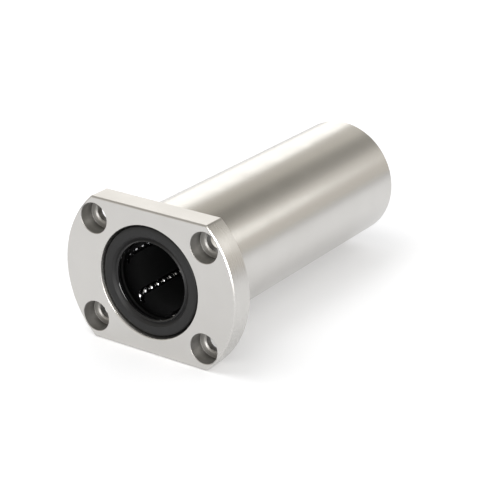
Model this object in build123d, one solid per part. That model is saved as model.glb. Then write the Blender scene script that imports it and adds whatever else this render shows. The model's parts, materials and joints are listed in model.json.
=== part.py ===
# Long flanged linear ball bearing for a 25 mm shaft, all sizes in millimetres.
# The shaft axis is Y, with the origin on it in the seat face, the back face of the flange.
# The flange stands from the seat face towards -Y and the sleeve runs towards +Y.
# X is the flange's long axis, and its two flats face +Z and -Z.
import os
from math import asin, cos, degrees, hypot, pi, radians, sin, sqrt

from build123d import *

# Sleeve and flange
shaft_diameter = 25.0
sleeve_diameter = 40.0
overall_length = 112.0
sleeve_end_chamfer = 1.0
flange_diameter = 62.0
flange_across_flats = 46.0
flange_thickness = 8.0
flange_edge_chamfer = 0.4

# Fixing holes, on 40 by 32 centres
bolt_circle_share = 0.5102  # of the way out from the sleeve to the rim
bolt_flat_distance = 7.0  # from a hole's centre to the flat
bolt_hole_diameter = 5.5
counterbore_diameter = 9.5
counterbore_depth = 5.1
counterbore_chamfer = 0.2
bolt_hole_chamfer = 0.5

# Balls and their circuits
wall_per_ball = 0.9  # the sleeve's wall over the returning balls, in ball diameters
circuit_count = 6
first_circuit_angle = 43.0  # from +X towards +Z
balls_per_turn = 3
turn_ball_gap = 0.045  # between neighbouring balls in a turn, where they stand closest
row_ball_gap = 0.055  # between neighbouring balls in a straight row
land_clearance = 0.02  # between a loaded ball and its raceway
return_clearance = 0.0653  # between a returning ball and the bore
land_width = 5.4
land_lead_length = 1.2
land_lead_rise = 0.15

# Ball retainers
pocket_clearance = 0.12
retainer_shaft_clearance = 0.3
retainer_land_clearance = 0.08
collar_clearance = 0.12
collar_thickness = 1.0
circuit_end_wall = 0.4  # least wall between a circuit and the collar or the inner end
retainer_float = 0.05  # end play of each retainer
retainer_edge_chamfer = 0.3

# Snap rings
snap_wire_diameter = 1.0
snap_groove_clearance = 0.05
snap_ring_gap_angle = 14.0

# Seals
mouth_width = 0.8  # of the lead-in cone at each end of the bore
mouth_length = 2.0
seal_recess = 0.7
seal_thickness = 2.3
seal_fit_clearance = 0.02
seal_edge_radius = 0.4
seal_bevel_width = 1.3  # from the flat face in to the lip
lip_groove_radius_step = 0.75
lip_groove_depth = 0.9
lip_crest_step = 0.3
lip_crest_depth = 0.35
lip_crest_round = 0.12
lip_land_length = 0.9
seal_back_step = 1.1
core_thickness = 0.8
core_bore_step = 1.7
core_rim_width = 0.5

# Places along the axis
seat_y = 0.0
front_face_y = seat_y - flange_thickness
rear_face_y = front_face_y + overall_length
middle_y = (front_face_y + rear_face_y) / 2
seal_face_y = front_face_y + seal_recess
seal_back_y = seal_face_y + seal_thickness
snap_ring_y = seal_back_y + snap_wire_diameter / 2
collar_face_y = snap_ring_y + snap_wire_diameter / 2 + retainer_float
collar_back_y = collar_face_y + collar_thickness
retainer_end_y = middle_y - retainer_float

# Flange and screw pattern
shaft_radius = shaft_diameter / 2
sleeve_radius = sleeve_diameter / 2
flange_radius = flange_diameter / 2
bolt_circle_radius = sleeve_radius + bolt_circle_share * (flange_radius - sleeve_radius)
bolt_spacing_z = flange_across_flats - 2 * bolt_flat_distance
bolt_spacing_x = 2 * sqrt(bolt_circle_radius**2 - (bolt_spacing_z / 2) ** 2)


def largest_ball(turn_step):
    # The return row lies one row spacing away in the plane that touches the loaded row, so
    # (room - reach * d)^2 = (shaft_radius + d / 2)^2 + (spread * (d + turn_ball_gap))^2
    room = sleeve_radius - return_clearance
    reach = wall_per_ball + 1 / 2
    spread = 1 / sin(turn_step / 2)
    a = 1 / 4 + spread**2 - reach**2
    b = shaft_radius + 2 * spread**2 * turn_ball_gap + 2 * room * reach
    c = room**2 - shaft_radius**2 - (spread * turn_ball_gap) ** 2
    return (sqrt(b**2 + 4 * a * c) - b) / (2 * a)


# One circuit: the largest balls that the room between shaft and sleeve allows
turn_step = pi / balls_per_turn
ball_diameter = largest_ball(turn_step)
ball_radius = ball_diameter / 2
loaded_radius = shaft_radius + ball_radius
land_radius = loaded_radius + ball_radius + land_clearance
turn_radius = (ball_diameter + turn_ball_gap) / (2 * sin(turn_step / 2))
ball_pitch = ball_diameter + row_ball_gap
pocket_radius = ball_radius + pocket_clearance
circuit_reach = turn_radius + pocket_radius + circuit_end_wall
balls_per_row = int((retainer_end_y - collar_back_y - 2 * circuit_reach) / ball_pitch)
row_length = balls_per_row * ball_pitch
circuit_y = collar_back_y + circuit_reach + row_length / 2
return_radius = hypot(loaded_radius, 2 * turn_radius)
bore_radius = return_radius + ball_radius + return_clearance

# Retainers and seals
retainer_bore_radius = shaft_radius + retainer_shaft_clearance
retainer_radius = land_radius - retainer_land_clearance
collar_radius = bore_radius - collar_clearance
seal_radius = bore_radius - seal_fit_clearance
core_radius = seal_radius - core_rim_width
core_bore_radius = shaft_radius + core_bore_step
circuit_angles = [first_circuit_angle + k * 360 / circuit_count for k in range(circuit_count)]
overlap = 1.0  # how far a cutter stands past a face, and a joined solid into its neighbour


def section(points, roundings=()):
    # a face in the XY plane, x being the distance from the axis, with named corners rounded
    face = make_face(Polyline(*points, close=True))
    for corner, radius in roundings:
        face = fillet(face.vertices().sort_by_distance(corner)[0], radius)
    return face


def turned(points, roundings=()):
    return revolve(section(points, roundings), axis=Axis.Y)


def plane_at(y):
    # square to the axis, local x and y along X and Z, with extrusions running towards -Y
    return Plane(origin=(0, y, 0), x_dir=(1, 0, 0), z_dir=(0, -1, 0))


def end_for_end(shape):
    # the front half's pieces fit the rear half turned about the first loaded row's direction
    angle = radians(first_circuit_angle)
    flip = Axis((0, middle_y, 0), (cos(angle), 0, sin(angle)))
    return shape.rotate(flip, 180)


def flange():
    outline = Circle(flange_radius) & Rectangle(flange_diameter, flange_across_flats)
    plate = extrude(plane_at(seat_y) * outline, flange_thickness)
    faces = plate.faces().sort_by(Axis.Y)
    rims = faces[0].edges() + faces[-1].edges()
    return chamfer(rims, flange_edge_chamfer)


def tube():
    return turned([
        (0, seat_y - overlap),
        (sleeve_radius, seat_y - overlap),
        (sleeve_radius, rear_face_y - sleeve_end_chamfer),
        (sleeve_radius - sleeve_end_chamfer, rear_face_y),
        (0, rear_face_y),
    ])


def bore():
    # the cone of each mouth runs on past the face
    cut_radius = bore_radius + mouth_width * (1 + overlap / mouth_length)
    hollow = turned([
        (0, front_face_y - overlap),
        (cut_radius, front_face_y - overlap),
        (bore_radius, front_face_y + mouth_length),
        (bore_radius, rear_face_y - mouth_length),
        (cut_radius, rear_face_y + overlap),
        (0, rear_face_y + overlap),
    ])
    groove = snap_wire_diameter / 2 + snap_groove_clearance
    for y in (snap_ring_y, 2 * middle_y - snap_ring_y):
        hollow += revolve(Pos(bore_radius, y) * Circle(groove), axis=Axis.Y)
    return hollow


def raceway_lands(y):
    # ground strips that the loaded balls roll on, as long as the rows, eased at both ends
    strips = Sketch() + [
        Rot(0, 0, angle) * Pos(bore_radius, 0) * Rectangle(bore_radius, land_width)
        for angle in circuit_angles
    ]
    ring = Circle(bore_radius + overlap) - Circle(land_radius)
    lands = extrude(plane_at(y + row_length / 2) * (strips & ring), row_length)
    for end in (-1, 1):
        outer = y + end * row_length / 2
        lands -= turned([
            (0, outer),
            (land_radius + land_lead_rise, outer),
            (land_radius, outer - end * land_lead_length),
            (0, outer - end * land_lead_length),
        ])
    return lands


def bolt_hole():
    # stepped hole for a socket-head screw, its axis at the origin
    hole = bolt_hole_diameter / 2
    head = counterbore_diameter / 2
    floor = front_face_y + counterbore_depth
    return turned([
        (0, front_face_y - overlap),
        (head + counterbore_chamfer + overlap, front_face_y - overlap),
        (head, front_face_y + counterbore_chamfer),
        (head, floor),
        (hole + bolt_hole_chamfer, floor),
        (hole, floor + bolt_hole_chamfer),
        (hole, seat_y - bolt_hole_chamfer),
        (hole + bolt_hole_chamfer + overlap, seat_y + overlap),
        (0, seat_y + overlap),
    ])


def flanged_sleeve():
    body = flange() + tube() - bore()
    body += raceway_lands(circuit_y)
    body += raceway_lands(2 * middle_y - circuit_y)
    for x in (-bolt_spacing_x / 2, bolt_spacing_x / 2):
        for z in (-bolt_spacing_z / 2, bolt_spacing_z / 2):
            body -= Pos(x, 0, z) * bolt_hole()
    return body


def circuit_plane(angle):
    # origin on the loaded row's middle, local x along the axis, local y towards the return row
    outward = (cos(radians(angle)), 0, sin(radians(angle)))
    origin = (loaded_radius * outward[0], circuit_y, loaded_radius * outward[2])
    return Plane(origin=origin, x_dir=(0, 1, 0), z_dir=outward)


def channel_section():
    # round-bottomed groove, open outwards: its mouth to the bore is narrower than a ball
    height = bore_radius - loaded_radius + overlap
    walls = Pos(0, height / 2) * Rectangle(2 * pocket_radius, height)
    return walls + Circle(pocket_radius)


def circuit_channel():
    # one endless groove: the loaded run, the return run and the two turns that join them
    across = Plane(origin=(-row_length / 2, 0, 0), x_dir=(0, 1, 0), z_dir=(1, 0, 0))
    run = extrude(across * channel_section(), row_length)
    channel = run + Pos(0, 2 * turn_radius, 0) * run
    for end in (-1, 1):
        centre = Axis((end * row_length / 2, turn_radius, 0), (0, 0, 1))
        start = Plane(origin=(end * row_length / 2, 0, 0), x_dir=(0, 1, 0), z_dir=(1, 0, 0))
        channel += revolve(start * channel_section(), axis=centre, revolution_arc=180 * end)
    return channel


def retainer():
    # moulded cage with a collar at its outer end, which the snap ring holds in
    easing = retainer_edge_chamfer
    cage = turned([
        (retainer_bore_radius + easing, collar_face_y),
        (collar_radius - easing, collar_face_y),
        (collar_radius, collar_face_y + easing),
        (collar_radius, collar_back_y),
        (retainer_radius, collar_back_y),
        (retainer_radius, retainer_end_y - easing),
        (retainer_radius - easing, retainer_end_y),
        (retainer_bore_radius + easing, retainer_end_y),
        (retainer_bore_radius, retainer_end_y - easing),
        (retainer_bore_radius, collar_face_y + easing),
    ])
    channel = circuit_channel()
    for angle in circuit_angles:
        cage -= circuit_plane(angle) * channel
    return cage


def ball_group(angle, places):
    ball = Sphere(ball_radius)
    return Compound(children=[circuit_plane(angle) * Pos(x, y, 0) * ball for x, y in places])


def ball_circuit(angle):
    # the four groups of one circuit: half a pitch lies between each group and the next turn
    steps = [(k + 0.5) * ball_pitch - row_length / 2 for k in range(balls_per_row)]
    turns = [(k + 0.5) * turn_step for k in range(balls_per_turn)]
    outer_end = -row_length / 2
    inner_end = row_length / 2
    return {
        "loaded_balls": ball_group(angle, [(x, 0) for x in steps]),
        "return_balls": ball_group(angle, [(x, 2 * turn_radius) for x in steps]),
        "outer_turn_balls": ball_group(angle, [
            (outer_end - turn_radius * sin(a), turn_radius * (1 - cos(a))) for a in turns
        ]),
        "inner_turn_balls": ball_group(angle, [
            (inner_end + turn_radius * sin(a), turn_radius * (1 - cos(a))) for a in turns
        ]),
    }


def snap_ring():
    wire = Pos(bore_radius, snap_ring_y) * Circle(snap_wire_diameter / 2)
    return revolve(wire, axis=Axis.Y, revolution_arc=360 - snap_ring_gap_angle)


def seal():
    # moulded rubber ring: flat face, groove behind the lip, lip on the shaft, flared back
    lip = shaft_radius
    face = seal_face_y
    land_end = face + lip_crest_depth + lip_crest_step + lip_land_length
    crest = (lip + lip_crest_step, face + lip_crest_depth)
    rim = (seal_radius, face)
    groove = (lip + lip_groove_radius_step, face + lip_groove_depth)
    outline = [
        rim,
        (lip + seal_bevel_width, face),
        groove,
        crest,
        (lip, face + lip_crest_depth + lip_crest_step),
        (lip, land_end),
        (lip + seal_back_step, seal_back_y),
        (core_bore_radius, seal_back_y),
        (core_bore_radius, seal_back_y - core_thickness),
        (core_radius, seal_back_y - core_thickness),
        (core_radius, seal_back_y),
        (seal_radius, seal_back_y),
    ]
    return turned(outline, [(rim, seal_edge_radius), (crest, lip_crest_round)])


def seal_core():
    return turned([
        (core_bore_radius, seal_back_y - core_thickness),
        (core_radius, seal_back_y - core_thickness),
        (core_radius, seal_back_y),
        (core_bore_radius, seal_back_y),
    ])


def build_nodes():
    nodes = {"flanged_sleeve": flanged_sleeve()}
    front = {
        "seal": seal(),
        "seal_core": seal_core(),
        "snap_ring": snap_ring(),
        "retainer": retainer(),
    }
    for number, angle in enumerate(circuit_angles, start=1):
        for name, balls in ball_circuit(angle).items():
            front[f"{name}_{number}"] = balls
    for name, shape in front.items():
        nodes[f"front_{name}"] = shape
        nodes[f"rear_{name}"] = end_for_end(shape)
    return nodes


def main():
    os.makedirs("parts", exist_ok=True)
    spread = degrees(asin(2 * turn_radius / return_radius))
    print(f"balls in a row {balls_per_row}, pitch {ball_pitch:.3f}, return row at {spread:.1f} degrees")
    for name, shape in build_nodes().items():
        shape.label = name
        export_step(shape, f"parts/{name}.step")


main()
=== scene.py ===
import json
from math import asin, cos, hypot, pi, radians, sin

import bmesh
import bpy
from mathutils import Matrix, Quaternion, Vector
from mathutils.geometry import tessellate_polygon


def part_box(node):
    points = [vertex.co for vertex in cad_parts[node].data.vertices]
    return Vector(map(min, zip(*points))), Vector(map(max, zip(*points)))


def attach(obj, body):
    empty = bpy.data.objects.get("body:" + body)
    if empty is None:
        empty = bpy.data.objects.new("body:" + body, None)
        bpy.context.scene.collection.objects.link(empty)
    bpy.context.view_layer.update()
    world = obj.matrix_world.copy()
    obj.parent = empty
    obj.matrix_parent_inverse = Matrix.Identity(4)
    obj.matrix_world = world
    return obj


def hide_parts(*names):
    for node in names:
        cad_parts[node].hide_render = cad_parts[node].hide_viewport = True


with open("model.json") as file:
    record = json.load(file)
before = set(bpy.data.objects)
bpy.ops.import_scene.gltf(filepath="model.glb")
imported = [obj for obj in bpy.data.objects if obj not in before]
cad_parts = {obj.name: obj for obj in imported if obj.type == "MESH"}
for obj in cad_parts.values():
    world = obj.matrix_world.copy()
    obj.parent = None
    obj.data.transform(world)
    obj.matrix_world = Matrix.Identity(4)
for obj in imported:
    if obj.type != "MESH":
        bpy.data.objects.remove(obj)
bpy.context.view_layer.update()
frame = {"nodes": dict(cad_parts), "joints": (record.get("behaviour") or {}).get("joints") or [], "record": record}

# Sizes that the frame already holds, in metres. The shaft axis is Y.
mm = 0.001
mounts = {mount["name"]: mount["dims"] for mount in frame["record"]["mounts"]}
joints = {joint["name"]: joint for joint in frame["joints"]}
sleeveBody = "sleeve_assembly"
shaftRadius = mounts["shaft_bore"]["r_mm"] * mm
sleeveRadius = mounts["housing_pilot"]["r_mm"] * mm
boltHoleRadius = mounts["flange_bolts"]["hole_r_mm"] * mm
boltX = mounts["flange_bolts"]["spacing_x_mm"] * mm / 2
boltZ = mounts["flange_bolts"]["spacing_y_mm"] * mm / 2
sleeveLow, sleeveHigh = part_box("flanged_sleeve")
sealLow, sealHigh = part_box("front_seal")
wireLow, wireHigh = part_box("front_snap_ring")
rowLow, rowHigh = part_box("front_loaded_balls_1")
frontY, rearY = sleeveLow.y, sleeveHigh.y
middleY = (frontY + rearY) / 2
ballRadius = (rowHigh.x - rowLow.x) / 2
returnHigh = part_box("front_return_balls_1")[1]
ballPitch = 2 * joints["front_loaded_balls_1_slide"]["range_m"][1]
turnRadius = (returnHigh - rowHigh).length / 2


# mesh helpers for all pieces

mergeDistance = 1e-7
overrun = mm  # how far a profile starts and ends beyond its own ends, so that its first corner is soft too


def softCorners(points, soft, steps=3, mostOfSide=0.3, hold=1.6):
    # every inner corner of an open profile gets a small curve, with a point that holds it on each side
    path = [Vector(points[0])]
    for before, corner, after in zip(points, points[1:], points[2:]):
        before, corner, after = Vector(before), Vector(corner), Vector(after)
        reach = min(soft, mostOfSide * (before - corner).length, mostOfSide * (after - corner).length)
        start = corner + reach * (before - corner).normalized()
        end = corner + reach * (after - corner).normalized()
        path.append(corner + hold * (start - corner))
        for step in range(steps + 1):
            t = step / steps
            path.append((1 - t) ** 2 * start + 2 * t * (1 - t) * corner + t * t * end)
        path.append(corner + hold * (end - corner))
    return path + [Vector(points[-1])]


def bridge(mesh, first, second):
    for i in range(len(first)):
        j = (i + 1) % len(first)
        mesh.faces.new((first[i], first[j], second[j], second[i])).smooth = True


def bridgeAll(mesh, loops):
    for first, second in zip(loops, loops[1:]):
        bridge(mesh, first, second)


def fillFlat(mesh, loops):
    corners = [vertex for loop in loops for vertex in loop]
    for triangle in tessellate_polygon([[vertex.co for vertex in loop] for loop in loops]):
        mesh.faces.new([corners[i] for i in triangle])


def addLoop(mesh, points):
    return [mesh.verts.new(point) for point in points]


def writeClean(mesh, data):
    bmesh.ops.remove_doubles(mesh, verts=mesh.verts, dist=mergeDistance)
    bmesh.ops.recalc_face_normals(mesh, faces=mesh.faces)
    mesh.to_mesh(data)
    mesh.free()


def addPiece(name, data):
    piece = bpy.data.objects.new(name, data)
    bpy.context.scene.collection.objects.link(piece)
    return piece


def plainPiece(name, points=(), edges=(), faces=()):
    data = bpy.data.meshes.new(name)
    data.from_pydata(points, edges, faces)
    return addPiece(name, data)


# node helpers for all finishes and for the world

noiseRange = (0.3, 0.7)  # nearly all of the noise lies between these
mixColors, mixResult = (6, 7), 2  # the mix node's sockets for colours, whose names repeat


def newFinish(name, color, roughness, metallic=0.0):
    material = bpy.data.materials.new(name)
    material.use_nodes = True
    shader = material.node_tree.nodes["Principled BSDF"]
    shader.inputs["Base Color"].default_value = (*color, 1)
    shader.inputs["Roughness"].default_value = roughness
    shader.inputs["Metallic"].default_value = metallic
    return material, shader


def addNode(owner, kind, **settings):
    node = owner.node_tree.nodes.new(kind)
    for name, value in settings.items():
        setattr(node, name, value)
    return node


def feed(owner, socket, value):
    if isinstance(value, bpy.types.NodeSocket):
        owner.node_tree.links.new(value, socket)
    else:
        socket.default_value = value


def calculate(owner, operation, *values):
    node = addNode(owner, "ShaderNodeMath", operation=operation)
    for socket, value in zip(node.inputs, values):
        feed(owner, socket, value)
    return node.outputs[0]


def remap(owner, value, fromLow, fromHigh, toLow=0.0, toHigh=1.0, smooth=False):
    node = addNode(owner, "ShaderNodeMapRange", interpolation_type="SMOOTHSTEP" if smooth else "LINEAR")
    feed(owner, node.inputs["Value"], value)
    feed(owner, node.inputs["From Min"], fromLow)
    feed(owner, node.inputs["From Max"], fromHigh)
    feed(owner, node.inputs["To Min"], toLow)
    feed(owner, node.inputs["To Max"], toHigh)
    return node.outputs["Result"]


def blendColors(owner, factor, first, second):
    node = addNode(owner, "ShaderNodeMix", data_type="RGBA")
    feed(owner, node.inputs["Factor"], factor)
    for index, color in zip(mixColors, (first, second)):
        feed(owner, node.inputs[index], color if isinstance(color, bpy.types.NodeSocket) else (*color, 1))
    return node.outputs[mixResult]


def coordinates(owner, place):
    split = addNode(owner, "ShaderNodeSeparateXYZ")
    feed(owner, split.inputs[0], place)
    return split.outputs


def objectPlace(material):
    return addNode(material, "ShaderNodeTexCoord").outputs["Object"]


def hypotenuse(material, *sides):
    squares = [calculate(material, "MULTIPLY", side, side) for side in sides]
    return calculate(material, "SQRT", calculate(material, "ADD", *squares))


def noise(material, vector, scale, detail=3.0):
    node = addNode(material, "ShaderNodeTexNoise")
    feed(material, node.inputs["Vector"], vector)
    feed(material, node.inputs["Scale"], scale)
    feed(material, node.inputs["Detail"], detail)
    return node.outputs["Fac"]


def spread(material, pattern, low, high):
    return remap(material, pattern, *noiseRange, low, high)


def addBump(material, shader, height, strength, distance):
    node = addNode(material, "ShaderNodeBump")
    feed(material, node.inputs["Height"], height)
    feed(material, node.inputs["Strength"], strength)
    feed(material, node.inputs["Distance"], distance)
    feed(material, shader.inputs["Normal"], node.outputs["Normal"])


# steel of the sleeve and the flange

steelLook = {
    "color": (0.640, 0.628, 0.606),
    "shadeColor": (0.610, 0.597, 0.574),
    "markMm": 0.11,          # width of one tool mark
    "markStrength": 0.35,
    "markShare": 0.4,        # of the roughness's changes, the rest comes from the blotches
    "streaksAround": 1.4,    # how often a mark changes on its way round
    "blotchMm": 9.0,
    "detail": 4.0,
    "oilFromMm": 2.6,        # depths behind the front face between which painted shade darkens a counterbore
    "oilToMm": 4.9,
    "finishes": {
        "sleeve": {
            "name": "groundSleeveSteel", "marksAlong": "axis", "markDepthMm": 0.0012,
            "roughness": 0.20, "roughnessSpan": 0.08, "anisotropic": 0.35,
        },
        "face": {
            "name": "facedFlangeSteel", "marksAlong": "radius", "markDepthMm": 0.0015,
            "roughness": 0.30, "roughnessSpan": 0.08,
        },
        "rim": {
            "name": "turnedRimSteel", "marksAlong": "axis", "markDepthMm": 0.0006,
            "roughness": 0.24, "roughnessSpan": 0.08,
        },
        # painted shade: the flats' shade darkens the top and bottom flats below the rim's steel
        "flat": {
            "name": "milledFlatSteel", "marksAlong": "axis", "markDepthMm": 0.0010,
            "roughness": 0.26, "roughnessSpan": 0.08, "shade": 0.86,
        },
        # painted shade: the holes' shade and deepShade darken the counterbore walls and the through holes
        "hole": {
            "name": "drilledHoleSteel", "marksAlong": "hole", "markDepthMm": 0.004,
            "roughness": 0.42, "roughnessSpan": 0.12, "shade": 0.55, "deepShade": 0.20,
        },
        # painted shade: the floor's shade darkens the bottom of each counterbore
        "floor": {
            "name": "sunkFloorSteel", "marksAlong": "hole", "markDepthMm": 0.004,
            "roughness": 0.48, "roughnessSpan": 0.10, "shade": 0.85,
        },
    },
}


def fromHole(material, place):
    # distance from the axis of the nearest bolt hole
    x, y, z = coordinates(material, place)
    sides = []
    for side, middle in ((x, boltX), (z, boltZ)):
        sides.append(calculate(material, "SUBTRACT", calculate(material, "ABSOLUTE", side), middle))
    return hypotenuse(material, *sides)


def markLines(material, place, marksAlong):
    # fine lines round the shaft axis or round each hole, stacked along the axis or the radius
    x, axial, z = coordinates(material, place)
    across = hypotenuse(material, x, z) if marksAlong == "radius" else axial
    if marksAlong == "hole":
        across = calculate(material, "ADD", fromHole(material, place), axial)
    around = calculate(material, "ARCTAN2", z, x)
    marks = addNode(material, "ShaderNodeCombineXYZ")
    feed(material, marks.inputs[0], calculate(material, "MULTIPLY", across, 1 / (steelLook["markMm"] * mm)))
    feed(material, marks.inputs[1], calculate(material, "MULTIPLY", around, steelLook["streaksAround"]))
    return noise(material, marks.outputs[0], 1.0, steelLook["detail"])


# painted shade of a counterbore: 0 to 1 between the two depths behind the front face
def holeShadeDepth(material, place):
    axial = coordinates(material, place)[1]
    return remap(material, axial, frontY + steelLook["oilFromMm"] * mm, frontY + steelLook["oilToMm"] * mm)


def steelFinish(
    name, marksAlong, markDepthMm, roughness, roughnessSpan, anisotropic=0.0, shade=1.0, deepShade=None,
):
    # deepShade is painted shade that darkens the finish towards the floor of a counterbore
    clean = tuple(shade * channel for channel in steelLook["color"])
    material, shader = newFinish(name, clean, roughness, metallic=1.0)
    place = objectPlace(material)
    lines = markLines(material, place, marksAlong)
    blotches = noise(material, place, 1 / (steelLook["blotchMm"] * mm), steelLook["detail"])
    if deepShade:
        deep = tuple(deepShade * channel for channel in steelLook["color"])
        color = blendColors(material, holeShadeDepth(material, place), clean, deep)
    else:
        stained = tuple(shade * channel for channel in steelLook["shadeColor"])
        color = blendColors(material, blotches, clean, stained)
    feed(material, shader.inputs["Base Color"], color)
    fromMarks = calculate(material, "MULTIPLY", lines, steelLook["markShare"])
    fromBlotches = calculate(material, "MULTIPLY", blotches, 1 - steelLook["markShare"])
    worn = calculate(material, "ADD", fromMarks, fromBlotches)
    feed(material, shader.inputs["Roughness"], spread(material, worn, roughness, roughness + roughnessSpan))
    addBump(material, shader, lines, steelLook["markStrength"], markDepthMm * mm)
    if anisotropic:
        shader.inputs["Anisotropic"].default_value = anisotropic
        tangent = addNode(material, "ShaderNodeTangent", direction_type="RADIAL", axis="Y")
        feed(material, shader.inputs["Tangent"], tangent.outputs[0])
    return material


sleeveForm = {
    "columnsPerCircuit": 48,     # round the shaft axis, for each sixth
    "rimSteps": 110,             # along each round side of the flange
    "holeSteps": 72,
    "flangeEdgeMm": 0.4,
    "flangeCornerMm": 0.22,
    "flangeCornerSteps": 4,
    "sleeveEndMm": 1.0,
    "mouthWidthMm": 0.8,
    "mouthLengthMm": 2.0,
    "mouthEdgeMm": 0.25,
    "sealFitMm": 0.02,
    "counterboreMm": 4.75,
    "counterboreDepthMm": 5.1,
    "counterboreEdgeMm": 0.2,
    "holeEdgeMm": 0.5,
    "softMm": 0.09,
    "landRadiusMm": 15.695,
    "landWidthMm": 5.4,
    "leadLengthMm": 1.2,
    "leadRiseMm": 0.15,
    "firstCircuitDegrees": 43.0,
    "circuits": 6,
    "cornerPinch": 0.98,         # keeps a land's corner off its foot where there is no land
    "grooveMm": 0.55,
    "grooveSteps": 8,
}
# how near the middle of a face lies to a surface, and how square it stands, to get that surface's finish
skinReach = 0.05 * mm
flatReach = 0.5 * mm
floorReach = 0.6 * mm
rimReach = 1.0 * mm
faceNormal = 0.9
floorNormal = 0.5


def flangeOutline(inset, y):
    # two arcs joined by the two flats, each of the four corners eased
    radius = sleeveHigh.x - inset
    height = sleeveHigh.z - inset
    corner = sleeveForm["flangeCornerMm"] * mm
    limit = asin(height / radius)
    sweep = limit - corner / radius
    steps = sleeveForm["rimSteps"]
    turns = [sweep * (2 * step / steps - 1) for step in range(steps + 1)]
    arc = [(radius * cos(turn), radius * sin(turn)) for turn in turns]
    tip = (radius * cos(limit), height)
    start, end = arc[-1], (tip[0] - corner, height)
    bend = []
    for step in range(1, sleeveForm["flangeCornerSteps"]):
        t = step / sleeveForm["flangeCornerSteps"]
        bend.append(tuple(
            (1 - t) ** 2 * start[i] + 2 * t * (1 - t) * tip[i] + t * t * end[i] for i in (0, 1)
        ))
    top = bend + [end, (end[0] - corner, height)]
    half = [(x, -z) for x, z in reversed(top)] + arc + top
    return [(side * x, y, side * z) for side in (1, -1) for x, z in half]


def holeRing(radius, y, x, z):
    count = sleeveForm["holeSteps"]
    turns = [2 * pi * step / count for step in range(count)]
    return [(x + radius * cos(turn), y, z + radius * sin(turn)) for turn in turns]


def addBoltHole(mesh, x, z):
    # counterbore for a screw head and through hole; returns its edges in the two faces
    head = sleeveForm["counterboreMm"] * mm
    headEdge = sleeveForm["counterboreEdgeMm"] * mm
    edge = sleeveForm["holeEdgeMm"] * mm
    floor = frontY + sleeveForm["counterboreDepthMm"] * mm
    profile = softCorners([
        (head + headEdge + overrun, frontY),
        (head + headEdge, frontY),
        (head, frontY + headEdge),
        (head, floor),
        (boltHoleRadius + edge, floor),
        (boltHoleRadius, floor + edge),
        (boltHoleRadius, -edge),
        (boltHoleRadius + edge, 0),
        (boltHoleRadius + edge + overrun, 0),
    ], sleeveForm["softMm"] * mm)[1:-1]
    loops = [addLoop(mesh, holeRing(radius, y, x, z)) for radius, y in profile]
    bridgeAll(mesh, loops)
    return loops[0], loops[-1]


def circuitColumns(boreRadius):
    # angles round the axis; a raceway land's two side walls get a corner and a foot of their own
    halfWidth = sleeveForm["landWidthMm"] * mm / 2
    foot = asin(halfWidth / boreRadius)
    sector = 2 * pi / sleeveForm["circuits"]
    share = sleeveForm["columnsPerCircuit"]
    inside = round(share * 2 * foot / sector) // 2 * 2
    outside = (share - inside) // 2
    columns = []
    for circuit in range(sleeveForm["circuits"]):
        middle = radians(sleeveForm["firstCircuitDegrees"]) + circuit * sector
        columns.append((middle, -foot, "foot"))
        columns.append((middle, -foot, "corner"))
        for step in range(1, inside):
            columns.append((middle, foot * (2 * step / inside - 1), "land"))
        columns.append((middle, foot, "corner"))
        columns.append((middle, foot, "foot"))
        for step in range(1, outside):
            columns.append((middle, foot + (sector - 2 * foot) * step / outside, "bore"))
    return columns


def boreRows(boreRadius):
    # (place along the axis, radius, radius on a land or None) between the two mouths
    groove = sleeveForm["grooveMm"] * mm
    wireY = (wireLow.y + wireHigh.y) / 2
    rowLength = rowHigh.y - rowLow.y - 2 * ballRadius + ballPitch
    rowY = (rowLow.y + rowHigh.y) / 2
    land = sleeveForm["landRadiusMm"] * mm
    lead = sleeveForm["leadLengthMm"] * mm
    rise = sleeveForm["leadRiseMm"] * mm
    start, end = rowY - rowLength / 2, rowY + rowLength / 2
    half = []
    for step in range(sleeveForm["grooveSteps"] + 1):
        turn = pi * (step / sleeveForm["grooveSteps"] - 0.5)
        half.append((wireY + groove * sin(turn), boreRadius + groove * cos(turn), None))
    half += [
        (start, boreRadius, None),
        (start, boreRadius, land + rise),
        (start + lead, boreRadius, land),
        (end - lead, boreRadius, land),
        (end, boreRadius, land + rise),
        (end, boreRadius, None),
    ]
    return half + [(2 * middleY - y, radius, onLand) for y, radius, onLand in reversed(half)]


def borePoint(column, row):
    middle, offset, kind = column
    y, radius, onLand = row
    if kind == "corner" and onLand:
        halfWidth = sleeveForm["landWidthMm"] * mm / 2
        offset = asin(halfWidth / onLand) * (1 if offset > 0 else -1)
    elif kind == "corner":
        offset *= sleeveForm["cornerPinch"]
    if onLand and kind in ("corner", "land"):
        radius = onLand
    return radius * cos(middle + offset), y, radius * sin(middle + offset)


def addTurnedBody(mesh):
    # sleeve outside, rear face, bore with lands and grooves, front mouth; returns its two open edges
    boreRadius = sealHigh.x + sleeveForm["sealFitMm"] * mm
    mouthRadius = boreRadius + sleeveForm["mouthWidthMm"] * mm
    mouthEnd = frontY + sleeveForm["mouthLengthMm"] * mm
    end = sleeveForm["sleeveEndMm"] * mm
    columns = circuitColumns(boreRadius)
    outside = softCorners([
        (sleeveRadius + overrun, 0),
        (sleeveRadius, 0),
        (sleeveRadius, rearY - end),
        (sleeveRadius - end, rearY),
        (sleeveRadius - end - overrun, rearY),
    ], sleeveForm["softMm"] * mm)[1:-1]
    front = softCorners([
        (boreRadius, mouthEnd + overrun),
        (boreRadius, mouthEnd),
        (mouthRadius, frontY),
        (mouthRadius + overrun, frontY),
    ], sleeveForm["mouthEdgeMm"] * mm)[1:-1]
    rows = [(y, radius, None) for radius, y in outside]
    rows += [(2 * middleY - y, radius, None) for radius, y in reversed(front)]
    rows += list(reversed(boreRows(boreRadius)))
    rows += [(y, radius, None) for radius, y in front]
    loops = [addLoop(mesh, [borePoint(column, row) for column in columns]) for row in rows]
    bridgeAll(mesh, loops)
    return loops[0], loops[-1]


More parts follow.
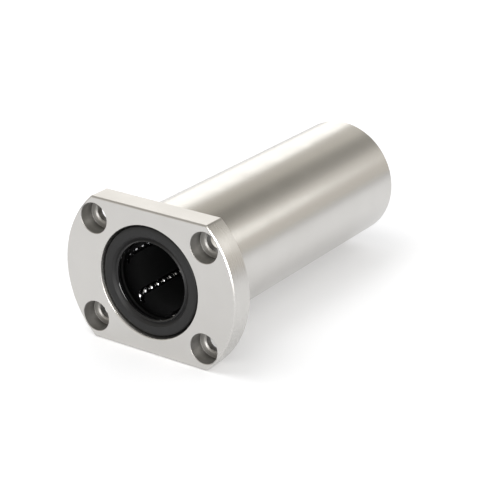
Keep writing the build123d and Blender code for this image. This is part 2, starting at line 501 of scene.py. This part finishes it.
def assignSteel(piece):
    # the finish follows how each surface was cut
    floorY = frontY + sleeveForm["counterboreDepthMm"] * mm
    holeReach = (sleeveForm["counterboreMm"] + sleeveForm["counterboreEdgeMm"]) * mm
    slots = {}
    for zone, values in steelLook["finishes"].items():
        slots[zone] = len(slots)
        piece.data.materials.append(steelFinish(**values))
    for face in piece.data.polygons:
        x, y, z = face.center
        upright = abs(face.normal.y)
        inFlange = frontY + skinReach < y < -skinReach
        if inFlange and hypot(abs(x) - boltX, abs(z) - boltZ) < holeReach:
            onFloor = abs(y - floorY) < floorReach and upright > floorNormal
            face.material_index = slots["floor" if onFloor else "hole"]
        elif upright > faceNormal:
            face.material_index = slots["face"]
        elif y < 0 and abs(z) > sleeveHigh.z - flatReach:
            face.material_index = slots["flat"]
        elif y < 0 and hypot(x, z) > sleeveHigh.x - rimReach:
            face.material_index = slots["rim"]


def makeSleeve():
    mesh = bmesh.new()
    edge = sleeveForm["flangeEdgeMm"] * mm
    profile = softCorners([
        (edge + overrun, frontY),
        (edge, frontY),
        (0, frontY + edge),
        (0, -edge),
        (edge, 0),
        (edge + overrun, 0),
    ], sleeveForm["softMm"] * mm)[1:-1]
    rim = [addLoop(mesh, flangeOutline(inset, y)) for inset, y in profile]
    bridgeAll(mesh, rim)
    holes = [addBoltHole(mesh, x, z) for x in (-boltX, boltX) for z in (-boltZ, boltZ)]
    seatEdge, mouthEdge = addTurnedBody(mesh)
    fillFlat(mesh, [rim[0], mouthEdge] + [first for first, last in holes])
    fillFlat(mesh, [rim[-1], seatEdge] + [last for first, last in holes])
    piece = plainPiece("flangedSleeve")
    writeClean(mesh, piece.data)
    assignSteel(piece)
    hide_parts("flanged_sleeve")
    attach(piece, sleeveBody)
    return piece


sleeve = makeSleeve()
print("sleeve:", len(sleeve.data.polygons), "faces")


# node trees for the turned rings and the ball trains

def newTree(name, inputs):
    tree = bpy.data.node_groups.new(name, "GeometryNodeTree")
    tree.interface.new_socket("Geometry", in_out="INPUT", socket_type="NodeSocketGeometry")
    for label, kind in inputs:
        tree.interface.new_socket(label, in_out="INPUT", socket_type=kind)
    tree.interface.new_socket("Geometry", in_out="OUTPUT", socket_type="NodeSocketGeometry")
    return tree, tree.nodes.new("NodeGroupInput").outputs, tree.nodes.new("NodeGroupOutput").inputs


def treeNode(tree, kind, values=None, **settings):
    node = tree.nodes.new(kind)
    for name, value in settings.items():
        setattr(node, name, value)
    for label, value in (values or {}).items():
        if isinstance(value, bpy.types.NodeSocket):
            tree.links.new(value, node.inputs[label])
        else:
            node.inputs[label].default_value = value
    return node


def closeTree(tree, result, output, material):
    whole = treeNode(tree, "GeometryNodeRealizeInstances", {"Geometry": result})
    painted = treeNode(tree, "GeometryNodeSetMaterial", {"Geometry": whole.outputs[0], "Material": material})
    tree.links.new(painted.outputs[0], output["Geometry"])


def growPiece(piece, tree, values):
    # runs the tree on the piece and keeps the result as a plain mesh
    modifier = piece.modifiers.new(tree.name, "NODES")
    modifier.node_group = tree
    for item in tree.interface.items_tree:
        if item.in_out == "INPUT" and item.name in values:
            modifier[item.identifier] = values[item.name]
    graph = bpy.context.evaluated_depsgraph_get()
    data = bpy.data.meshes.new_from_object(piece.evaluated_get(graph), depsgraph=graph)
    piece.modifiers.clear()
    piece.data = data
    data.name = piece.name
    return piece


def turnedRingTree(material):
    # sweeps a closed profile once round the shaft axis, with its corners rounded
    tree, given, output = newTree("turnedRing", [
        ("Segments", "NodeSocketInt"),
        ("Path Radius", "NodeSocketFloat"),
        ("Corner Radius", "NodeSocketFloat"),
        ("Corner Steps", "NodeSocketInt"),
    ])
    outline = treeNode(tree, "GeometryNodeMeshToCurve", {"Mesh": given["Geometry"]})
    rounded = treeNode(tree, "GeometryNodeFilletCurve", {
        "Curve": outline.outputs[0],
        "Radius": given["Corner Radius"],
        "Count": given["Corner Steps"],
        "Limit Radius": True,
    }, mode="POLY")
    circle = treeNode(tree, "GeometryNodeCurvePrimitiveCircle", {
        "Resolution": given["Segments"], "Radius": given["Path Radius"],
    })
    upright = treeNode(tree, "GeometryNodeSetCurveNormal", {"Curve": circle.outputs[0]}, mode="Z_UP")
    swept = treeNode(tree, "GeometryNodeCurveToMesh", {
        "Curve": upright.outputs[0], "Profile Curve": rounded.outputs[0],
    })
    turned = treeNode(tree, "GeometryNodeTransform", {
        "Geometry": swept.outputs[0], "Rotation": (-pi / 2, 0, 0),
    })
    closeTree(tree, turned.outputs[0], output, material)
    return tree


# rubber end seals

sealForm = {
    "segments": 240,
    "cornerMm": 0.12,
    "cornerSteps": 3,
    "lipPressMm": 0.25,       # the free lip stands inside the shaft's radius
    "bevelMm": 1.9,
    "grooveStepMm": 1.0,
    "grooveDepthMm": 1.1,
    "crestStepMm": 0.4,
    "crestDepthMm": 0.30,
    "lipLandMm": 0.9,
    "backStepMm": 1.1,
    "coreMm": 0.8,
    "coreBoreMm": 1.7,
    "coreRimMm": 0.5,
    "edgeMm": 0.85,
    "edgeEasing": (0.12, 0.45),   # shares of the edge that the two points of its curve keep
    "sharpDegrees": 40,
    "color": (0.010, 0.010, 0.0105),
    "dustColor": (0.016, 0.016, 0.016),
    "specular": 0.42,
    "roughness": 0.52,
    "lipRoughness": 0.04,     # the lip's inner bevel is moulded smoother than the rest
    "lipRampMm": 0.15,
    "roughnessDrift": (-0.04, 0.06),
    "cloudMm": 6.0,
    "cloudDetail": 5.0,
    "grainMm": 0.12,
    "grainDetail": 2.0,
    "grainStrength": 0.25,
    "grainDepthMm": 0.01,
}


def rubberFinish():
    material, shader = newFinish("sealRubber", sealForm["color"], sealForm["roughness"])
    shader.inputs["Specular IOR Level"].default_value = sealForm["specular"]
    place = objectPlace(material)
    clouds = noise(material, place, 1 / (sealForm["cloudMm"] * mm), sealForm["cloudDetail"])
    color = blendColors(material, clouds, sealForm["color"], sealForm["dustColor"])
    feed(material, shader.inputs["Base Color"], color)
    x, y, z = coordinates(material, place)
    crest = shaftRadius + (sealForm["crestStepMm"] - sealForm["lipPressMm"]) * mm
    rampEnd = crest + sealForm["lipRampMm"] * mm
    levels = (sealForm["lipRoughness"], sealForm["roughness"])
    rough = remap(material, hypotenuse(material, x, z), crest, rampEnd, *levels)
    drift = spread(material, clouds, *sealForm["roughnessDrift"])
    feed(material, shader.inputs["Roughness"], calculate(material, "ADD", rough, drift))
    grain = noise(material, place, 1 / (sealForm["grainMm"] * mm), sealForm["grainDetail"])
    addBump(material, shader, grain, sealForm["grainStrength"], sealForm["grainDepthMm"] * mm)
    return material


def sealProfile():
    # (distance from the axis, depth behind the seal's flat face): flat, groove, lip and flared back
    size = {key: value * mm for key, value in sealForm.items() if key.endswith("Mm")}
    lip = shaftRadius - size["lipPressMm"]
    rim = sealHigh.x
    depth = sealHigh.y - sealLow.y
    landStart = size["crestDepthMm"] + size["crestStepMm"]
    coreBore, coreRim = lip + size["coreBoreMm"], rim - size["coreRimMm"]
    edge = size["edgeMm"]
    less, more = (share * edge for share in sealForm["edgeEasing"])
    return [
        (rim, edge),
        (rim - less, more),
        (rim - more, less),
        (rim - edge, 0),
        (lip + size["bevelMm"], 0),
        (lip + size["grooveStepMm"], size["grooveDepthMm"]),
        (lip + size["crestStepMm"], size["crestDepthMm"]),
        (lip, landStart),
        (lip, landStart + size["lipLandMm"]),
        (lip + size["backStepMm"], depth),
        (coreBore, depth),
        (coreBore, depth - size["coreMm"]),
        (coreRim, depth - size["coreMm"]),
        (coreRim, depth),
        (rim, depth),
    ]


def makeSeal(name, tree, faceY, inward):
    # inward is +1 for the front seal and -1 for the rear one
    pathRadius = (shaftRadius + sealHigh.x) / 2
    points = [(radius - pathRadius, -(faceY + inward * depth), 0) for radius, depth in sealProfile()]
    count = len(points)
    piece = plainPiece(name, points, [(i, (i + 1) % count) for i in range(count)])
    growPiece(piece, tree, {
        "Segments": sealForm["segments"],
        "Path Radius": pathRadius,
        "Corner Radius": sealForm["cornerMm"] * mm,
        "Corner Steps": sealForm["cornerSteps"],
    })
    mesh = bmesh.new()
    mesh.from_mesh(piece.data)
    writeClean(mesh, piece.data)
    piece.data.shade_smooth()
    piece.data.set_sharp_from_angle(angle=radians(sealForm["sharpDegrees"]))
    return piece


ringTree = turnedRingTree(rubberFinish())
frontSeal = makeSeal("frontSeal", ringTree, sealLow.y, 1)
rearSeal = makeSeal("rearSeal", ringTree, 2 * middleY - sealLow.y, -1)
for seal, node in ((frontSeal, "front_seal"), (rearSeal, "rear_seal")):
    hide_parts(node)
    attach(seal, sleeveBody)
print("seals:", len(frontSeal.data.polygons), "faces each")


# ball trains

ballLook = {
    "color": (0.43, 0.43, 0.44),
    "roughness": 0.07,
    "filmRoughness": 0.16,
    "filmMm": 1.2,
    "subdivisions": 2,
}
ballsPerTurn = 3  # in each turn of the frame's circuits


def ballFinish():
    material, shader = newFinish("polishedBallSteel", ballLook["color"], ballLook["roughness"], metallic=1.0)
    film = noise(material, objectPlace(material), 1 / (ballLook["filmMm"] * mm))
    rough = spread(material, film, ballLook["roughness"], ballLook["filmRoughness"])
    feed(material, shader.inputs["Roughness"], rough)
    return material


def ballTrainTree(material):
    # a ball at each step along a line, or round a turn's centre
    tree, given, output = newTree("ballTrain", [
        ("Count", "NodeSocketInt"),
        ("First", "NodeSocketVector"),
        ("Step", "NodeSocketVector"),
        ("Centre", "NodeSocketVector"),
        ("Axis", "NodeSocketVector"),
        ("Step Angle", "NodeSocketFloat"),
        ("Ball Radius", "NodeSocketFloat"),
        ("Subdivisions", "NodeSocketInt"),
    ])
    line = treeNode(tree, "GeometryNodeMeshLine", {
        "Count": given["Count"], "Start Location": given["First"], "Offset": given["Step"],
    })
    index = treeNode(tree, "GeometryNodeInputIndex")
    angle = treeNode(tree, "ShaderNodeMath", operation="MULTIPLY")
    tree.links.new(index.outputs[0], angle.inputs[0])
    tree.links.new(given["Step Angle"], angle.inputs[1])
    place = treeNode(tree, "GeometryNodeInputPosition")
    turn = treeNode(tree, "ShaderNodeVectorRotate", {
        "Vector": place.outputs[0],
        "Center": given["Centre"],
        "Axis": given["Axis"],
        "Angle": angle.outputs[0],
    }, rotation_type="AXIS_ANGLE")
    placed = treeNode(tree, "GeometryNodeSetPosition", {
        "Geometry": line.outputs[0], "Position": turn.outputs[0],
    })
    ball = treeNode(tree, "GeometryNodeMeshIcoSphere", {
        "Radius": given["Ball Radius"], "Subdivisions": given["Subdivisions"],
    })
    smooth = treeNode(tree, "GeometryNodeSetShadeSmooth", {"Geometry": ball.outputs[0]})
    train = treeNode(tree, "GeometryNodeInstanceOnPoints", {
        "Points": placed.outputs[0], "Instance": smooth.outputs[0],
    })
    closeTree(tree, train.outputs[0], output, material)
    return tree


def ballTrainValues(node):
    low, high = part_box(node)
    middle = (low + high) / 2
    turn = joints.get(node + "_turn")
    common = {"Ball Radius": ballRadius, "Subdivisions": ballLook["subdivisions"]}
    if turn is None:
        length = high.y - low.y - 2 * ballRadius
        count = round(length / ballPitch) + 1
        first = (middle.x, low.y + ballRadius, middle.z)
        return common | {
            "Count": count, "First": first, "Step": (0, length / (count - 1), 0),
            "Centre": first, "Axis": (0, 1, 0), "Step Angle": 0.0,
        }
    stepAngle = pi / ballsPerTurn
    centre, axis = Vector(turn["pos_m"]), Vector(turn["axis"])
    outwards = Vector((0, 1 if middle.y > centre.y else -1, 0))
    first = centre + Quaternion(axis, -stepAngle) @ (outwards * turnRadius)
    return common | {
        "Count": ballsPerTurn, "First": tuple(first), "Step": (0, 0, 0),
        "Centre": tuple(centre), "Axis": tuple(axis), "Step Angle": stepAngle,
    }


def camelName(node):
    words = node.split("_")
    return words[0] + "".join(word.capitalize() for word in words[1:])


trainTree = ballTrainTree(ballFinish())
ballNodes = sorted(name for name in frame["nodes"] if "balls" in name)
for node in ballNodes:
    train = growPiece(plainPiece(camelName(node), [(0, 0, 0)]), trainTree, ballTrainValues(node))
    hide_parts(node)
    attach(train, node)
print("ball trains:", len(ballNodes))


# pieces that keep their frame mesh and get a finish

resinLook = {
    "color": (0.042, 0.042, 0.0425),
    # the collar's colour is painted shade, darker than the bore's resin
    "collarColor": (0.003, 0.003, 0.003),
    "specular": 0.12,
    "boreRoughness": 0.16,
    "collarRoughness": 0.6,
    "dullToMm": 0.5,         # depths behind the collar's face: dull as far as this
    "glossFromMm": 0.9,      # glossy from here on
    "darkToMm": 1.0,         # painted shade darkest as far as this
    "paleFromMm": 8.0,       # painted shade gone from here on
    "roughnessDrift": 0.06,
    "flowMm": 4.0,
    "flowDetail": 4.0,
    "flowStrength": 0.1,
    "flowDepthMm": 0.02,
}


def resinFinish():
    # glossy in the bore, as it came off the core pin, and dull on the collar, with painted shade on the collar
    material, shader = newFinish("cageResin", resinLook["color"], resinLook["boreRoughness"])
    shader.inputs["Specular IOR Level"].default_value = resinLook["specular"]
    place = objectPlace(material)
    fromMiddle = calculate(material, "SUBTRACT", coordinates(material, place)[1], middleY)
    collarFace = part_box("front_retainer")[0].y
    depth = calculate(material, "SUBTRACT", middleY - collarFace, calculate(material, "ABSOLUTE", fromMiddle))
    size = {key: value * mm for key, value in resinLook.items() if key.endswith("Mm")}
    levels = (resinLook["collarRoughness"], resinLook["boreRoughness"])
    rough = remap(material, depth, size["dullToMm"], size["glossFromMm"], *levels)
    flow = noise(material, place, 1 / size["flowMm"], resinLook["flowDetail"])
    drift = spread(material, flow, 0.0, resinLook["roughnessDrift"])
    feed(material, shader.inputs["Roughness"], calculate(material, "ADD", rough, drift))
    # painted shade: darkest just behind the collar's face, gone deeper in the bore
    shadeFade = remap(material, depth, size["darkToMm"], size["paleFromMm"])
    color = blendColors(material, shadeFade, resinLook["collarColor"], resinLook["color"])
    feed(material, shader.inputs["Base Color"], color)
    addBump(material, shader, flow, resinLook["flowStrength"], size["flowDepthMm"])
    return material


innerSteelLook = {
    "wireColor": (0.32, 0.32, 0.33),
    "wireRoughness": 0.3,
    "coreColor": (0.5, 0.5, 0.5),
    "coreRoughness": 0.35,
    "roughnessSpan": 0.15,
    "grainMm": 0.4,
    "grainStrength": 0.2,
    "grainDepthMm": 0.004,
}


def innerSteelFinish(name, color, roughness):
    material, shader = newFinish(name, color, roughness, metallic=1.0)
    grain = noise(material, objectPlace(material), 1 / (innerSteelLook["grainMm"] * mm))
    rough = spread(material, grain, roughness, roughness + innerSteelLook["roughnessSpan"])
    feed(material, shader.inputs["Roughness"], rough)
    addBump(material, shader, grain, innerSteelLook["grainStrength"], innerSteelLook["grainDepthMm"] * mm)
    return material


wireSteel = innerSteelFinish("springWireSteel", innerSteelLook["wireColor"], innerSteelLook["wireRoughness"])
coreSteel = innerSteelFinish("pressedCoreSteel", innerSteelLook["coreColor"], innerSteelLook["coreRoughness"])
keptFinishes = {"retainer": resinFinish(), "snap_ring": wireSteel, "seal_core": coreSteel}
for side in ("front", "rear"):
    for part, finish in keptFinishes.items():
        node = frame["nodes"][f"{side}_{part}"]
        node.data.materials.clear()
        node.data.materials.append(finish)
print("kept nodes painted:", 2 * len(keptFinishes))


# studio: floor, soft boxes, surroundings

studio = {
    "floorSize": 6.0,
    "floorGapMm": 0.02,
    "floorRoughness": 0.9,
    "floorColor": (0.80, 0.80, 0.805),
    "shownColor": (0.95, 0.95, 0.955),  # the paper as the camera sees it
    "shownGlow": (0.22, 0.42),    # what the camera sees on top of the lit floor, near and far
    "metalGlow": (0.28, 0.0),     # and what metal sees
    "glowReach": (0.20, 0.36),    # near gives way to far between these distances
    "ambient": 0.66,
    "sky": [                      # sine of the elevation, colour that metal sees
        (0.00, (0.70, 0.665, 0.61)),
        (0.15, (0.74, 0.70, 0.64)),
        (0.36, (0.76, 0.73, 0.68)),
        (0.50, (0.80, 0.77, 0.71)),
        (0.58, (0.74, 0.71, 0.64)),
        (0.66, (0.42, 0.39, 0.34)),
        (0.76, (0.66, 0.64, 0.60)),
        (1.00, (0.72, 0.71, 0.69)),
    ],
    "darkPatch": {"azimuth": 13, "elevation": 35, "reach": 16, "share": 0.52},
    "softBoxes": [                # directions in degrees, sizes in metres
        {
            "name": "backLeftBox", "azimuth": -42, "elevation": 17, "distance": 1.6,
            "width": 1.0, "height": 0.90, "radiance": 0.95, "seen": "both",
        },
        {
            "name": "backRightBox", "azimuth": 40, "elevation": 22, "distance": 1.6,
            "width": 0.42, "height": 0.34, "radiance": 0.85, "seen": "both",
        },
        {
            "name": "frontLeftBox", "azimuth": -125, "elevation": 66, "distance": 1.8,
            "width": 1.2, "height": 1.2, "radiance": 2.4, "seen": "matt",
        },
        {
            "name": "frontRightStrip", "azimuth": 133, "elevation": 18, "distance": 1.5,
            "width": 0.36, "height": 1.25, "radiance": 11.0, "seen": "gloss",
        },
    ],
}


def seenBackground(owner):
    # whether a ray comes from the camera, and whether it comes from there, off gloss or through a surface
    path = addNode(owner, "ShaderNodeLightPath")
    camera = seen = path.outputs["Is Camera Ray"]
    for label in ("Is Glossy Ray", "Is Transmission Ray"):
        seen = calculate(owner, "MAXIMUM", seen, path.outputs[label])
    return camera, seen


def floorGlow(material, near, far):
    # a glow that changes with the distance over the floor from the middle of the bearing
    away = addNode(material, "ShaderNodeVectorMath", operation="DISTANCE")
    feed(material, away.inputs[0], objectPlace(material))
    feed(material, away.inputs[1], (0, middleY, sleeveLow.z))
    return remap(material, away.outputs["Value"], *studio["glowReach"], near, far, smooth=True)


def addFloor():
    half = studio["floorSize"] / 2
    z = sleeveLow.z - studio["floorGapMm"] * mm
    corners = [(-half, -half, z), (half, -half, z), (half, half, z), (-half, half, z)]
    piece = plainPiece("paleFloor", corners, faces=[(0, 1, 2, 3)])
    material, shader = newFinish("paleFloor", studio["floorColor"], studio["floorRoughness"])
    shader.inputs["Specular IOR Level"].default_value = 0.0
    camera, seen = seenBackground(material)
    paper = blendColors(material, camera, studio["floorColor"], studio["shownColor"])
    feed(material, shader.inputs["Base Color"], paper)
    offMetal = calculate(material, "SUBTRACT", seen, camera)
    shownGlow = calculate(material, "MULTIPLY", camera, floorGlow(material, *studio["shownGlow"]))
    metalGlow = calculate(material, "MULTIPLY", offMetal, floorGlow(material, *studio["metalGlow"]))
    shader.inputs["Emission Color"].default_value = (1, 1, 1, 1)
    feed(material, shader.inputs["Emission Strength"], calculate(material, "ADD", shownGlow, metalGlow))
    piece.data.materials.append(material)


def addSoftBox(box):
    light = bpy.data.lights.new(box["name"], "AREA")
    light.shape = "RECTANGLE"
    light.size, light.size_y = box["width"], box["height"]
    light.energy = box["radiance"] * pi * box["width"] * box["height"]
    lamp = bpy.data.objects.new(box["name"], light)
    direction = compass(box["azimuth"], box["elevation"])
    target = Vector((0, middleY, 0))
    lamp.location = target + box["distance"] * direction
    lamp.rotation_euler = (-direction).to_track_quat("-Z", "Y").to_euler()
    lamp.visible_camera = False
    lamp.visible_diffuse = box["seen"] != "gloss"
    lamp.visible_glossy = box["seen"] != "matt"
    bpy.context.scene.collection.objects.link(lamp)


def compass(azimuth, elevation):
    # unit vector of a direction: azimuth from +Y towards +X, elevation above the floor
    turn, rise = radians(azimuth), radians(elevation)
    return Vector((sin(turn) * cos(rise), cos(turn) * cos(rise), sin(rise)))


def skyColor(world):
    # colour by elevation, with one softly darker patch
    direction = addNode(world, "ShaderNodeTexCoord").outputs["Generated"]
    ramp = addNode(world, "ShaderNodeValToRGB")
    feed(world, ramp.inputs[0], coordinates(world, direction)[2])
    stops = ramp.color_ramp.elements
    for position, color in studio["sky"][1:-1]:
        stops.new(position)
    for stop, (position, color) in zip(stops, studio["sky"]):
        stop.position = position
        stop.color = (*color, 1)
    patch = studio["darkPatch"]
    toward = addNode(world, "ShaderNodeVectorMath", operation="DOT_PRODUCT")
    feed(world, toward.inputs[0], direction)
    feed(world, toward.inputs[1], compass(patch["azimuth"], patch["elevation"]))
    edge = cos(radians(patch["reach"]))
    share = remap(world, toward.outputs["Value"], edge, 1.0, 0.0, patch["share"], smooth=True)
    return blendColors(world, share, ramp.outputs[0], (0, 0, 0))


def addSurroundings():
    # white for the camera, the sky for metal, an even grey that lights the rest
    world = bpy.data.worlds.new("studioRoom")
    world.use_nodes = True
    camera, seen = seenBackground(world)
    shown = blendColors(world, camera, skyColor(world), (1, 1, 1))
    color = blendColors(world, seen, (studio["ambient"],) * 3, shown)
    feed(world, world.node_tree.nodes["Background"].inputs["Color"], color)
    bpy.context.scene.world = world


viewpoint = {
    "place": (0.26947, -0.36186, 0.19694),
    "aim": (0.00092, 0.04492, -0.00734),
    "rollDegrees": 0.69,
    "lensMm": 118.57,
    "sensorMm": 36.0,
    "clipStart": 0.01,
}


def addCamera():
    data = bpy.data.cameras.new("benchCamera")
    data.sensor_width = viewpoint["sensorMm"]
    data.lens = viewpoint["lensMm"]
    data.clip_start = viewpoint["clipStart"]
    camera = bpy.data.objects.new("benchCamera", data)
    camera.location = viewpoint["place"]
    aimed = (Vector(viewpoint["aim"]) - camera.location).to_track_quat("-Z", "Y")
    camera.rotation_euler = (aimed @ Quaternion((0, 0, 1), radians(viewpoint["rollDegrees"]))).to_euler()
    bpy.context.scene.collection.objects.link(camera)
    bpy.context.scene.camera = camera


addFloor()
for box in studio["softBoxes"]:
    addSoftBox(box)
addSurroundings()
addCamera()
bpy.context.scene.view_settings.view_transform = "Standard"
print("studio ready")
